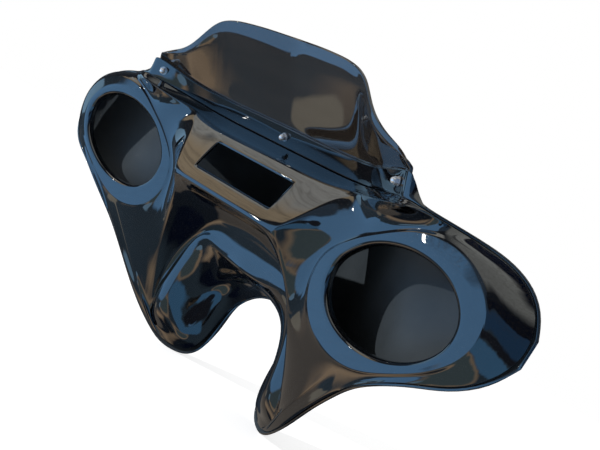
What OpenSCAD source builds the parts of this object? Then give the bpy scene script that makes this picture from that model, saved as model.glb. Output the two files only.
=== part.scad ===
// Batwing-style motorcycle fairing with speaker pods, radio cut-out and smoked windshield.
// X is the rider's right, Y is forward and Z is up.
// The origin is the crown of the fork cut-out, where the fairing sits over the fork.

/* [Overall] */
// Half the overall width, from the middle plane to the outermost point of a wing
wing_reach = 502; // [494:2:516]
// Height of the windshield's top edge above the radio cut-out's top edge
screen_rise = 190; // [176:2:200]
// Depth of the lobes' tips below the radio cut-out's top edge
lobe_drop = 385; // [380:1:392]

/* [Shells] */
// Wall thickness of the two fibreglass shells
shell_t = 4; // [3:0.5:5]
// How far the inner shell's edge stays inside the outer shell's rim
seam_inset = 9; // [8.5:0.5:10]
// How far the outer shell's rim bulges forward behind a speaker pod
wing_depth = 75; // [55:5:95]
// How far the outer shell's nose bulges above the line from flange to fork cut-out
nose_depth = 70; // [50:5:90]

/* [Dash] */
// Half width of the radio cut-out
radio_half_w = 91; // [90:0.5:94]
// Height of the radio cut-out, along the sloping face
radio_h = 53; // [51:0.5:56]

/* [Speaker pods] */
// Long half axis of the speaker opening
speaker_a = 108; // [100:1:112]
// Short half axis of the speaker opening
speaker_b = 72; // [66:1:75]
// Mean width of the flat ring round the opening
ring_w = 20; // [16:1:21]
// How much wider the ring is at its upper outer and lower inner corners
ring_swell = 13; // [6:1:14]
// Radius of the rounded lip of the opening
lip_r = 7; // [5:0.5:8]
// Depth of the wall that turns in at the opening
hole_wall = 14; // [10:1:18]

/* [Windshield] */
// Thickness of the sheet
screen_t = 4.5; // [3:0.5:5]
// Height of the flange that carries it
flange_h = 34; // [30:1:36]
// How far the flared top strip bends forward
flare = 5; // [0:1:10]

/* [Fasteners] */
// Thread diameter of the bolts
bolt_d = 6; // [5:0.5:6]
// Diameter of the flat washer
washer_d = 14; // [12:0.5:16]
// Thickness of the flat washer
washer_t = 1.2; // [1:0.1:1.6]
// Width across flats of the acorn nut
nut_af = 10; // [9:0.5:11]
// Diameter of the button head
head_d = 12; // [10:0.5:13]
// Thickness of the rubber washer
rubber_t = 2; // [1.5:0.5:3]

/* [Hidden] */
$fn = 48;

// The dash frame has its origin at the middle of the radio cut-out's top edge.
crown = [0, 262, -198];
dash_tilt = 20;
radio_low = [0, -radio_h * sin(dash_tilt), -radio_h * cos(dash_tilt)];
// Clearances: windshield to flange, ledge to flange, and flat washers to the curved flange
flange_gap = 0.4;
seat = 0.7;
washer_seat = 0.25;

// A point of the wing by its share of the reach past the wing's root, and a point of a lobe by its
// height above the lobe's tip
wing_root = 425;
function wing(share, y, z) = [wing_root + (wing_reach - wing_root) * share, y, z];
function lobe(x, y, up) = [x, y, up - lobe_drop];

// Rows of the middle of the inner shell, from the dash ridge to the fork cut-out.
// Each row runs from the middle plane to the pod, with eight points.
rh = radio_half_w;
row_ridge = [[0, 7, 20], [46, 7, 20], [rh, 7, 20], [112, 7.5, 20.5], [132, 9, 22], [152, 10, 25],
  [170, 10.5, 28], [187, 10, 31]];
row_radio_top = [[0, 0, 0], [46, 0, 0], [rh, 0, 0], [108, 0, 0], [124, 0, 0], [140, 0, 1], [155, 0, 2],
  [168, 0, 3]];
row_radio_low = [for (p = [0, 46, rh, 102, 112, 122, 131, 140]) radio_low + [p, 0, 0]];
row_dash_low = [for (p = [0, 46, 86, 96, 103, 109, 115, 121]) [p, -27, -74]];
row_nose = [[0, -25, -81], [46, -25, -81], [85, -25, -81], [96, -25, -81], [103, -24, -81],
  [110, -23, -82], [117, -21, -84], [124, -17, -86]];
row_under = [[0, -8, -82], [46, -8, -82], [84, -8, -83], [96, -7, -86], [105, -4, -90],
  [114, 1, -95], [123, 5, -99], [132, 6, -102]];
row_roof = [[0, 66, -80], [46, 66, -80], [82, 62, -86], [98, 56, -97], [110, 52, -110],
  [124, 50, -124], [140, 44, -136], [154, 36, -141]];
row_wall = [[0, 98, -118], [40, 99, -118], [78, 98, -117], [104, 98, -121], [134, 102, -150],
  [156, 106, -190], [166, 104, -222], [173, 98, -238]];
row_valley = [[0, 108, -167], [36, 120, -170], [84, 114, -157], [124, 104, -139], [158, 126, -210],
  [170, 131, -272], lobe(177, 142, 79), lobe(179, 150, 59)];
row_crest = [[0, 126, -174], [38, 134, -177], [82, 128, -174], [114, 118, -178], [146, 130, -235],
  lobe(149, 129, 97), lobe(164, 146, 57), lobe(178, 160, 42)];
row_groove = [[0, 186, -182], [38, 188, -189], [84, 191, -212], [107, 188, -247], [111, 185, -295],
  lobe(114, 184, 47), lobe(136, 182, 27), lobe(171, 169, 27)];
row_lip = [[0, 236, -184], [40, 235, -195], [74, 228, -228], [87, 220, -274], [87, 216, -320],
  lobe(96, 214, 29), lobe(124, 199, 15), lobe(162, 176, 17)];
row_edge = [[0, 256, -192.5], [45, 254, -204], [74, 247, -236], [84, 240, -279], [83, 233, -323],
  lobe(93, 226, 27), lobe(116, 210, 9), lobe(151, 185, 10)];
rows = [row_ridge, row_radio_top, row_radio_low, row_dash_low, row_nose, row_under, row_roof, row_wall,
  row_valley, row_crest, row_groove, row_lip, row_edge];
// Steps from each row to the next
row_steps = [1, 1, 1, 1, 1, 1, 2, 3, 3, 2, 2, 1];
// Steps from each column to the next
column_steps = [1, 1, 1, 1, 1, 2, 2];

// Rim of the outer shell, from the flange's end round the wing to the tip of the lobe.
rim = [[285, -46, 79], [290, -39, 71], [296, -32, 61], [305, -30, 53], [322, -34, 49], [352, -14, 49],
  [388, 5, 48], wing(0, 13, 44), wing(0.47, 14, 31), wing(0.82, 13, 8), wing(1, 13, -26), wing(0.99, 12, -62),
  wing(0.71, 8, -101), wing(0.27, 5, -130), [403, 11, -149], [363, 18, -172], [328, 32, -196],
  [297, 60, -227], [257, 92, -275], lobe(226, 124, 67), lobe(198, 150, 36), lobe(172, 175, 12), lobe(150, 191, 0)];
rim_shoulder = 4;
rim_tip = 10;
// Fork cut-out's edge on the outer shell, from its crown to the tip of the lobe.
fork_edge = [crown, [43, 260, -209], [69, 252, -238], [79, 244, -280], [78, 237, -325],
  lobe(88, 231, 21), lobe(110, 219, 1), lobe(150, 191, 0)];
ridge_end = [[187, 10, 31], [210, -4, 31], [236, -20, 31], [264, -38, 32], [294, -51, 36]];
flange_base = [[0, 44, 46], [46, 44, 46], [91, 43, 46], [130, 41, 46], [162, 36, 46.5],
  [187, 28, 47], [210, 14, 47], [236, -4, 47], [262, -22, 47.5], [280, -37, 47.5], [294, -47, 47]];
screen_top = [[0, -56, screen_rise], [89, -68, screen_rise - 6], [135, -72, screen_rise - 13],
  [155, -71, screen_rise - 20], [168, -69, screen_rise - 30],
  [188, -64, 135], [209, -57, 119], [232, -51, 109], [258, -47, 101], [274, -50, 90]];
// Past these the flange keeps its lean and its direction
screen_end = screen_top[len(screen_top) - 1].x - 2;
flange_end = flange_base[len(flange_base) - 1].x - 3;
// The end bolts sit in the middle of a flat stretch of the flange
bolt_x = 267;
bolt_flat = 8;
screen_x = [0, 30, 60, 90, 125, 150, 168, 188, 209, 232, bolt_x - bolt_flat, bolt_x + bolt_flat];

// Speaker pod's centre and its three axes on the rider's right
pod = [318, 1, -79];
pod_long = [0.959, -0.193, 0.210];
pod_short = [-0.248, -0.201, 0.948];
pod_out = [-0.14, -0.96, -0.24];
// Where the ring is widest, turned back from the diagonal
ring_turn = 27;

function chord(a, b) = max(norm(b - a), 0.001);
function slope(p, q, r) = let (d = chord(p, q), e = chord(q, r))
  ((q - p) / d * e + (r - q) / e * d) / (d + e);
// Cubic from a to b with the end tangents m and o
function blend(a, m, b, o, t) = a * (2 * t ^ 3 - 3 * t ^ 2 + 1) + m * (t ^ 3 - 2 * t ^ 2 + t)
  + b * (3 * t ^ 2 - 2 * t ^ 3) + o * (t ^ 3 - t ^ 2);
// Smooth curve through points k, at s from 0 to the number of spans
function curve(k, s) = let (n = len(k) - 1, i = min(floor(s), n - 1), t = s - i, a = k[i], b = k[i + 1],
  w = i > 0 ? k[i - 1] : 2 * a - b, z = i + 2 <= n ? k[i + 2] : 2 * b - a, d = chord(a, b),
  m = slope(w, a, b) * d, o = slope(a, b, z) * d)
  blend(a, m, b, o, t);
// Parameters with the given number of steps in each span
function spans(steps) = concat([0], [for (i = [0:len(steps) - 1]) for (k = [1:steps[i]]) i + k / steps[i]]);
function unit(v) = v / max(norm(v), 0.000001);
function mirrored(g) = [for (row = g) [for (i = [len(row) - 1:-1:0]) [-row[i].x, row[i].y, row[i].z]]];
function mirrored_rows(g) = [for (i = [len(g) - 1:-1:0]) [for (p = g[i]) [-p.x, p.y, p.z]]];
// Point on a curve at a given x
function at_x(k, x, lo = 0, hi = -1, n = 22) = let (h = hi < 0 ? len(k) - 1 : hi, m = (lo + h) / 2)
  n == 0 ? curve(k, m) : (curve(k, m).x > x ? at_x(k, x, lo, m, n - 1) : at_x(k, x, m, h, n - 1));

// A sheet is a list of grids. Points in the same place become one point.
function key(p) = round(p.x * 40) * 4e9 + round(p.y * 40) * 60000 + round(p.z * 40);
function flat(l) = [for (a = l) each a];
function start(grids, n) = n == 0 ? 0 : start(grids, n - 1) + len(grids[n - 1]) * len(grids[n - 1][0]);
function quads(g, first, hole) = let (w = len(g[0])) [for (r = [0:len(g) - 2]) for (c = [0:w - 2])
  if (len(hole) == 0 || r < hole[0] || r >= hole[1] || c < hole[2] || c >= hole[3])
    [first + r * w + c, first + r * w + c + 1, first + (r + 1) * w + c + 1, first + (r + 1) * w + c]];
function without_repeats(f) = [for (i = [0:len(f) - 1]) if (f[i] != f[(i + 1) % len(f)]) f[i]];
function face_normal(v, f) = cross(v[f[1]] - v[f[0]], v[f[2]] - v[f[0]])
  + (len(f) > 3 ? cross(v[f[2]] - v[f[0]], v[f[3]] - v[f[0]]) : [0, 0, 0]);

module sheet(grids, holes, t) {
  all_points = flat([for (g = grids) flat(g)]);
  keys = [for (p = all_points) key(p)];
  same = search(keys, keys, 1);
  faces = [for (n = [0:len(grids) - 1]) for (f = quads(grids[n], start(grids, n), holes[n]))
    let (g = without_repeats([for (i = f) same[i]])) if (len(g) > 2) g];
  pushes = [for (f = faces) unit(face_normal(all_points, f)) ];
  size = len(all_points);
  corners = [for (k = [0:3]) [for (f = faces) k < len(f) ? f[k] : -1]];
  used = [for (k = [0:3]) search([for (i = [0:size - 1]) i], corners[k], 0)];
  back = [for (i = [0:size - 1]) let (s = [for (k = [0:3]) each [for (j = used[k][i]) pushes[j]]])
    all_points[i] - (len(s) == 0 ? [0, 0, 0] : unit([for (a = s) 1] * s)) * t];
  corner = [for (f = faces) len(f) > 3 && norm(all_points[f[0]] - all_points[f[2]]) >
    norm(all_points[f[1]] - all_points[f[3]]) ? [f[1], f[2], f[3], f[0]] : f];
  triangles = [for (f = corner) for (i = [1:len(f) - 2]) [f[0], f[i], f[i + 1]]];
  edges = [for (f = faces) for (i = [0:len(f) - 1]) [f[i], f[(i + 1) % len(f)]]];
  codes = [for (e = edges) e[0] * size + e[1]];
  twins = search([for (e = edges) e[1] * size + e[0]], codes, 1);
  rims = [for (i = [0:len(edges) - 1]) if (!is_num(twins[i])) edges[i]];
  polyhedron(points = concat(all_points, back), convexity = 10, faces = concat(
    [for (f = triangles) [f[0], f[2], f[1]]],
    [for (f = triangles) [f[0] + size, f[1] + size, f[2] + size]],
    [for (e = rims) each [[e[0], e[1], e[1] + size], [e[0], e[1] + size, e[0] + size]]]));
}

// Inner shell, right half: middle, ledge and pod
middle = [for (r = spans(row_steps)) [for (c = spans(column_steps))
  curve([for (row = rows) curve(row, c)], r)]];
last_column = len(middle[0]) - 1;
last_row = len(middle) - 1;
upturned = [for (r = [last_row:-1:0]) middle[r]];
ridge_line = concat(middle[0], [for (i = [1:4]) ridge_end[i]]);
ledge = [for (k = [0:2]) [for (i = [0:len(ridge_line) - 1])
  let (x = ridge_line[i].x, b = base_at(x) - facing(x) * seat - [0, 0, 2 * seat], f = k / 2)
  ridge_line[i] * (1 - f) + b * f - [0, 0, k == 1 ? 3 : 0]]];

// Loop round the pod: back along the ridge, down the dash side and the lobe, and round the rim
function inset(i) = rim[i] + unit(cross([0, 1, 0], rim[i + 1] - rim[i - 1])) * seam_inset - [0, 2, 0];
rim_loop = [for (i = [len(rim) - 2:-1:rim_shoulder]) inset(i)];
pod_loop = concat([for (i = [4:-1:1]) ridge_end[i]], [for (r = middle) r[last_column]], rim_loop);
loop_n = len(pod_loop);
function pod_angle(p) = atan2((p - pod) * pod_short, (p - pod) * pod_long);
function turned(a) = a < 80 ? a + 360 : a;
loop_angle = [for (i = [0:loop_n - 1]) turned(pod_angle(pod_loop[i]))];
ray_angle = [for (i = [0:loop_n - 1]) 0.8 * loop_angle[i] + 0.2 * (loop_angle[0] + 360 * i / loop_n)];
function ellipse_r(a) = 1 / sqrt((cos(a) / speaker_a) ^ 2 + (sin(a) / speaker_b) ^ 2);
function on_pod(a, r, d) = pod + pod_long * (r * cos(a)) + pod_short * (r * sin(a)) + pod_out * d;
function pod_ray(i) = let (a = ray_angle[i], e = ellipse_r(a),
  w = ring_w + ring_swell * sin(2 * a + ring_turn),
  foot = on_pod(a, e + lip_r + w + 6, -3), goal = pod_loop[i], gap = goal - foot, d = norm(gap),
  drop = pod_out * (gap * pod_out), out = unit(foot - pod) * d,
  m = unit((gap - drop) * 0.85 + out * 0.15) * d * 0.9, o = unit(gap + drop * 0.8) * d)
  concat([on_pod(a, e, -hole_wall)],
    [for (b = [0:45:90]) on_pod(a, e + lip_r * (1 - cos(b)), -lip_r * (1 - sin(b)))],
    [on_pod(a, e + lip_r + w, 0), foot],
    [for (t = [0.25:0.25:0.99]) blend(foot, m, goal, o, t)], [goal]);
pod_grid = [for (i = [0:loop_n]) pod_ray(i % loop_n)];

// Flange of the outer shell: its face leans back to the top edge of the windshield
function base_at(x) = at_x(flange_base, x);
function lean(x) = let (c = min(x, screen_end), d = at_x(screen_top, c) - base_at(c)) unit([0, d.y, d.z]);
function facing(x, w = 2) = unit(cross(lean(x), base_at(min(x + w, flange_end)) - base_at(x - w)));
// Points of the flange's front face at x: top, middle, foot, and the step out to the nose
function flange_points(x) = let (b = base_at(x) + facing(x) * shell_t)
  [b + lean(x) * flange_h, b + lean(x) * flange_h / 2, b, b + facing(x) * screen_t];

// Outer shell: each column is half an ellipse from the top edge to the bottom edge
bottom_line = concat([for (s = spans([2, 2, 2, 2, 1, 1, 1])) curve(fork_edge, s)],
  [for (i = [len(rim) - 2:-1:rim_tip + 1]) rim[i]]);
// Past the last screen column the flange runs down along the rim to the shoulder, as a web
function web_points(i) = let (a = flange_points(rim[0].x), low = rim[rim_shoulder],
  s = (rim[i].x - rim[0].x) / (low.x - rim[0].x), foot = a[2] * (1 - s) + low * s,
  step = a[3] * (1 - s) + low * s)
  [rim[i], (rim[i] + foot) / 2, foot, step];
top_feet = concat([for (x = screen_x) flange_points(x)], [for (i = [0:rim_shoulder - 1]) web_points(i)],
  [for (i = [rim_shoulder:rim_tip]) [for (k = [0:3]) rim[i]]]);
columns = len(top_feet);
arch_steps = 9;
function depth_at(f) = (nose_depth * (1 - f) + wing_depth * f) * sqrt(max(0, 1 - f ^ 8));
outer_half = [for (i = [0:columns - 1]) let (t = top_feet[i][3], b = bottom_line[i], f = i / (columns - 1),
  out = unit(cross([1, 0, 0], b - t)) * depth_at(f))
  concat([for (k = [arch_steps:-1:0]) let (a = 180 * k / arch_steps)
    t + (b - t) * (1 - cos(a)) / 2 + out * sin(a)], [for (k = [2:-1:0]) top_feet[i][k]])];

// Windshield: each column runs up from the flange's foot
screen_rows = [0, 0.5, 1];
flare_start = 0.85;
screen_free = [0.12, 0.3, 0.5, 0.7, flare_start, 1];
screen_half = [for (x = screen_x) let (b = base_at(x) + facing(x) * (shell_t + flange_gap) + lean(x),
  top = at_x(screen_top, x) - facing(x) * (screen_t / 2 + flare), h = flange_h + 1, low = b + lean(x) * h)
  concat([for (f = [5:-1:0]) let (s = screen_free[f])
    low + (top - low) * s + facing(x) * flare * max(0, (s - flare_start) / (1 - flare_start))],
    [for (f = [2:-1:0]) b + lean(x) * (h * screen_rows[f])])];

// Fasteners
bolt_up = 18;
bolt_places = [["left", -1], ["center", 0], ["right", 1]];
hole_d = bolt_d + 0.6;
hole_reach = 25;
stack = shell_t + flange_gap + screen_t;
nut_h = bolt_d * 0.9;
head_h = bolt_d * 0.55;
// Clearance under the flat washers, larger at the ends, where the flange is twisted
function rest(side) = washer_seat * (1 + 1.6 * abs(side));

// Turns Z to the flange's forward normal at one of the three places, with zero on its rider face
module on_flange(side) {
  x = abs(side) * bolt_x;
  n = facing(max(x, 2), side == 0 ? 2 : bolt_flat);
  p = base_at(x) + lean(x) * bolt_up - crown;
  turn = side == 0 ? [0, unit([0, n.y, n.z]).y, unit([0, n.y, n.z]).z] : [side * n.x, n.y, n.z];
  translate([side * p.x, p.y, p.z]) rotate([0, acos(turn.z), atan2(turn.y, turn.x)]) children();
}

module bolt_holes() {
  for (place = bolt_places)
    on_flange(place[1]) translate([0, 0, -hole_reach]) cylinder(d = hole_d, h = 2 * hole_reach);
}

module inner_shell() {
  last = last_column;
  low = last_row - 2;
  color("#0b0c0e") translate(-crown) sheet(
    [upturned, ledge, pod_grid, mirrored(upturned), mirrored(ledge), mirrored(pod_grid)],
    [[low, low + 1, 0, 2], [], [], [low, low + 1, last - 2, last], [], []], shell_t);
}

module outer_shell() {
  color("#101114") difference() {
    translate(-crown) sheet([outer_half, mirrored_rows(outer_half)], [[], []], shell_t);
    bolt_holes();
  }
}

module windshield() {
  color("#3a2c22", 0.6) difference() {
    translate(-crown) sheet([mirrored_rows(screen_half), screen_half], [[], []], screen_t);
    bolt_holes();
  }
}

module bolt(side) {
  color("#2a2a2c") on_flange(side) {
    translate([0, 0, -rest(side) - washer_t - nut_h])
      cylinder(d = bolt_d, h = rest(side) + washer_t + nut_h + stack + rubber_t + rest(side));
    translate([0, 0, stack + rest(side) + rubber_t]) difference() {
      rotate_extrude() intersection() {
        translate([0, head_h - head_d * 0.62]) circle(d = head_d * 1.24);
        square([head_d / 2, head_h]);
      }
      translate([0, 0, head_h - 1.8]) cylinder(d = bolt_d * 0.7, h = 3, $fn = 6);
    }
  }
}

module rubber_washer(side) {
  color("#1a1a1a") on_flange(side) translate([0, 0, stack + rest(side)]) difference() {
    cylinder(d = washer_d, h = rubber_t);
    translate([0, 0, -1]) cylinder(d = hole_d, h = rubber_t + 2);
  }
}

module washer(side) {
  color("#c8ccd0") on_flange(side) translate([0, 0, -rest(side) - washer_t]) difference() {
    cylinder(d = washer_d, h = washer_t);
    translate([0, 0, -1]) cylinder(d = hole_d, h = washer_t + 2);
  }
}

module acorn_nut(side) {
  across = nut_af / cos(30);
  color("#d8dade") on_flange(side)
      translate([0, 0, -rest(side) - washer_t]) rotate([180, 0, 0]) difference() {
    union() {
      cylinder(d = across, h = nut_h, $fn = 6);
      translate([0, 0, nut_h]) intersection() {
        sphere(d = nut_af * 0.98);
        translate([0, 0, nut_af / 2]) cube(nut_af, center = true);
      }
    }
    translate([0, 0, -1]) cylinder(d = bolt_d + 0.1, h = nut_h + 1.5);
  }
}

outer_shell();
inner_shell();
windshield();
bolt(-1);  // left_bolt
rubber_washer(-1);  // left_rubber_washer
washer(-1);  // left_washer
acorn_nut(-1);  // left_acorn_nut
bolt(0);  // center_bolt
rubber_washer(0);  // center_rubber_washer
washer(0);  // center_washer
acorn_nut(0);  // center_acorn_nut
bolt(1);  // right_bolt
rubber_washer(1);  // right_rubber_washer
washer(1);  // right_washer
acorn_nut(1);  // right_acorn_nut
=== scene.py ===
"""Looks of a motorcycle fairing: gloss black shells, smoked windshield and chrome nuts."""

import logging
from collections.abc import Callable
from dataclasses import dataclass, field
from enum import Enum, IntEnum
from math import cos, floor, pi, radians, sin, sqrt

import bmesh
import bpy
import numpy as np
from mathutils import Matrix, Vector

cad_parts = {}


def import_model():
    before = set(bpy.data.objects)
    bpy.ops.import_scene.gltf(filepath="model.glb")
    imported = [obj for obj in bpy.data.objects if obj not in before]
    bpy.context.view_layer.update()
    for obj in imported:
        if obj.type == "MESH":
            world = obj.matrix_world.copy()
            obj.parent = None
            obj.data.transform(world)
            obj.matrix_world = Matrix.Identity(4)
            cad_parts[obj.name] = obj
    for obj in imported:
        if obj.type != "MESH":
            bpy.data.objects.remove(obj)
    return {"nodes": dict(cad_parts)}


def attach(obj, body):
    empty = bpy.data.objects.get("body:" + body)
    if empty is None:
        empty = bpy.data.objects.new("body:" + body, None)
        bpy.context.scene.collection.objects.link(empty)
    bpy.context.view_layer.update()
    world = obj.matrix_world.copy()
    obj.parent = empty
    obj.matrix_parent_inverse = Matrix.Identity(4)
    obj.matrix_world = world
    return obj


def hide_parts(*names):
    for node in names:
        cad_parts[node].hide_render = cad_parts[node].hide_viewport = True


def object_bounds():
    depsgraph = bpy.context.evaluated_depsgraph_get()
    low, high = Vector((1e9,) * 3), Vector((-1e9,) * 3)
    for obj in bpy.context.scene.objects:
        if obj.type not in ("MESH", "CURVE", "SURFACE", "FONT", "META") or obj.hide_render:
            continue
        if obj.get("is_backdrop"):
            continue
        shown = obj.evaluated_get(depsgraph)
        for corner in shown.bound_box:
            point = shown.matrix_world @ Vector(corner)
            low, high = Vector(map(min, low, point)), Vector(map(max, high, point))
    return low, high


LOG = logging.getLogger("fairing")
MM = 0.001
# The part's origin, the crown of the fork cut-out, measured from the dash in millimetres
CROWN = np.array([0.0, 262.0, -198.0])
# Middle of the fairing in metres, round which the light is placed
MIDDLE = Vector((0.0, -0.15, 0.1))
# Direction of the sun in degrees: azimuth from the rider's side to the rider's right, and elevation
SUN = (-38.0, 9.0)
# Shortest chord that a slope is measured on, in millimetres
LEAST_CHORD = 0.001
# Steps of the search for a given x on a curve
HALVINGS = 24
# Steps in a millimetre to which points are rounded where grids meet
WELD = 20

Point = np.ndarray
Grid = list[list[Point]]
Colour = tuple[float, float, float]


def point(*values: float) -> Point:
    """Makes a point from its three coordinates in millimetres."""
    return np.array(values, dtype=float)


def points(*rows: tuple[float, float, float]) -> list[Point]:
    """Makes a list of points from tuples."""
    return [point(*row) for row in rows]


# Turns a point into its mirror image in the middle plane
FLIP = point(-1, 1, 1)


def unit(v: Point) -> Point:
    """Scales a vector to length one."""
    return v / max(float(np.linalg.norm(v)), 1e-6)


def chord(p: Point, q: Point) -> float:
    """Measures the distance between two points, which counts as LEAST_CHORD at least."""
    return max(float(np.linalg.norm(q - p)), LEAST_CHORD)


def slope(p: Point, q: Point, r: Point) -> Point:
    """Finds the direction of a smooth curve at q.

    Args:
        p: Point before.
        q: The point itself.
        r: Point after.

    Returns:
        The tangent, per millimetre of chord.
    """
    d, e = chord(p, q), chord(q, r)
    return ((q - p) / d * e + (r - q) / e * d) / (d + e)


def blend(a: Point, m: Point, b: Point, o: Point, t: float) -> Point:
    """Finds a point of a cubic with given ends.

    Args:
        a: Its start.
        m: Tangent at the start.
        b: Its end.
        o: Tangent at the end.
        t: Place along it, from 0 to 1.

    Returns:
        The point.
    """
    start, end = 2 * t**3 - 3 * t**2 + 1, 3 * t**2 - 2 * t**3
    return a * start + m * (t**3 - 2 * t**2 + t) + b * end + o * (t**3 - t**2)


def curve(knots: list[Point], s: float) -> Point:
    """Finds a point of the smooth curve through some knots.

    Args:
        knots: The points that the curve goes through.
        s: Place along it, counted in spans.

    Returns:
        The point.
    """
    last = len(knots) - 1
    i = min(floor(s), last - 1)
    a, b = knots[i], knots[i + 1]
    before = knots[i - 1] if i > 0 else 2 * a - b
    after = knots[i + 2] if i + 2 <= last else 2 * b - a
    d = chord(a, b)
    return blend(a, slope(before, a, b) * d, b, slope(a, b, after) * d, s - i)


def spans(steps: list[int]) -> list[float]:
    """Lists the parameters of a curve with a given number of steps in each span."""
    return [0.0] + [i + k / n for i, n in enumerate(steps) for k in range(1, n + 1)]


def peak(x: float, middle: float, half: float) -> float:
    """Rises from 0 to 1 at the middle and falls to 0 again, half a width away on either side."""
    return max(0.0, 1 - abs(x - middle) / half)


def at_x(knots: list[Point], x: float) -> Point:
    """Finds where a curve reaches a given x, by halving.

    Args:
        knots: The points that the curve goes through, in order of x.
        x: The x to reach.

    Returns:
        The point.
    """
    low, high = 0.0, float(len(knots) - 1)
    for _ in range(HALVINGS):
        middle = (low + high) / 2
        if curve(knots, middle)[0] > x:
            high = middle
        else:
            low = middle
    return curve(knots, (low + high) / 2)


def mirror(grid: Grid, by_rows: bool = False) -> Grid:
    """Copies a grid to the other side of the middle plane, facing the same way.

    Args:
        grid: The grid on the rider's right.
        by_rows: True to reverse the order of rows, and otherwise of columns.

    Returns:
        The grid on the rider's left.
    """
    flipped = [[p * FLIP for p in row] for row in grid]
    return flipped[::-1] if by_rows else [row[::-1] for row in flipped]


def mesh_from(mesh: bmesh.types.BMesh, name: str) -> bpy.types.Mesh:
    """Turns an editable mesh into mesh data of a given name, and frees it."""
    data = bpy.data.meshes.new(name)
    mesh.to_mesh(data)
    mesh.free()
    return data


def placed(name: str, data: bpy.types.ID) -> bpy.types.Object:
    """Makes an object from a mesh, lamp or camera and puts it in the scene."""
    made = bpy.data.objects.new(name, data)
    bpy.context.scene.collection.objects.link(made)
    return made


@dataclass
class Flange:
    """The strip that carries the windshield, and the lines that it shares with its neighbours.

    Attributes:
        shell_t: Wall thickness of the shells.
        screen_t: Thickness of the windshield.
        height: Height of the flange.
        gap: Clearance between flange and windshield.
        bolt_x: Distance of the end bolts from the middle plane.
        end_x: Distance of the last column from the middle plane.
        lean_until: Distance past which the lean stays the same.
        turn_until: Distance past which the direction stays the same.
        rise: Places of the profile's points, as shares of the height.
        base: Knots of the flange's foot on its rider side.
        screen_top: Knots of the windshield's top edge.
    """

    shell_t: float = 4.0
    screen_t: float = 4.5
    height: float = 34.0
    gap: float = 0.4
    bolt_x: float = 267.0
    end_x: float = 277.0
    lean_until: float = 272.0
    turn_until: float = 291.0
    rise: tuple[float, ...] = (1.0, 0.97, 0.5, 0.08, 0.0)
    base: list[Point] = field(
        default_factory=lambda: points(
            (0, 44, 46), (46, 44, 46), (91, 43, 46), (130, 41, 46), (162, 36, 46.5), (187, 28, 47),
            (210, 14, 47), (236, -4, 47), (262, -22, 47.5), (280, -37, 47.5), (294, -47, 47),
        )
    )
    screen_top: list[Point] = field(
        default_factory=lambda: points(
            (0, -56, 190), (89, -68, 184), (135, -72, 177), (155, -71, 170), (168, -69, 160),
            (188, -64, 135), (209, -57, 119), (232, -51, 109), (258, -47, 101), (274, -50, 90),
        )
    )

    def columns(self) -> list[float]:
        """Lists the x of the columns that flange and windshield share."""
        return [0, 30, 60, 90, 110, 130, 150, 168, 188, 209, 230, 250, self.bolt_x, self.end_x]

    def base_at(self, x: float) -> Point:
        """Finds the flange's foot on its rider side at x."""
        return at_x(self.base, x)

    def lean(self, x: float) -> Point:
        """Finds the direction up the flange at x."""
        x = min(x, self.lean_until)
        gap = at_x(self.screen_top, x) - self.base_at(x)
        return unit(point(0, gap[1], gap[2]))

    def facing(self, x: float, reach: float = 2) -> Point:
        """Finds the flange's forward normal at x.

        Args:
            x: Distance from the middle plane.
            reach: Half the stretch over which it is measured.

        Returns:
            The normal.
        """
        along = self.base_at(min(x + reach, self.turn_until)) - self.base_at(x - reach)
        return unit(np.cross(self.lean(x), along))

    def profile(self, x: float) -> list[Point]:
        """Lists the flange's front face at x from its top down to the step."""
        foot = self.base_at(x) + self.facing(x) * self.shell_t
        up = self.lean(x) * self.height
        return [foot + up * h for h in self.rise] + [foot + self.facing(x) * self.screen_t]


@dataclass
class Rim:
    """The outer shell's rim on the rider's right, and the fork cut-out's edge.

    Attributes:
        line: Knots of the rim, from the flange's end round the wing to the lobe's tip.
        fork: Knots of the cut-out's edge, from its crown to the lobe's tip.
        shoulder: Number of the rim's knot where ledge and pod meet it.
        tip: Number of the rim's outermost knot.
    """

    line: list[Point] = field(
        default_factory=lambda: points(
            (285, -46, 79), (290, -39, 71), (296, -32, 61), (305, -30, 53), (322, -34, 49), (352, -14, 49),
            (388, 5, 48), (425, 13, 44), (461, 14, 31), (488, 13, 8), (502, 13, -26), (501, 12, -62),
            (480, 8, -101), (446, 5, -130), (403, 11, -149), (363, 18, -172), (328, 32, -196),
            (297, 60, -227), (257, 92, -275), (226, 124, -318), (198, 150, -349), (172, 175, -373),
            (150, 191, -385),
        )
    )
    fork: list[Point] = field(
        default_factory=lambda: points(
            (0, 262, -198), (43, 260, -209), (69, 252, -238), (79, 244, -280), (78, 237, -325),
            (88, 231, -364), (110, 219, -384), (150, 191, -385),
        )
    )
    shoulder: int = 4
    tip: int = 10

    def inset(self, i: int, by: float, back: float = 2.0) -> Point:
        """Finds the inner shell's edge beside a knot of the rim.

        Args:
            i: Number of the knot.
            by: Distance from the rim.
            back: How far the edge stands back from the rim.

        Returns:
            The point.
        """
        across = unit(np.cross(point(0, 1, 0), self.line[i + 1] - self.line[i - 1]))
        return self.line[i] + across * by - point(0, back, 0)


class Side(IntEnum):
    """Material slots of a sheet while it is built."""

    FRONT = 0
    BACK = 1
    POLISHED = 2


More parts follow.
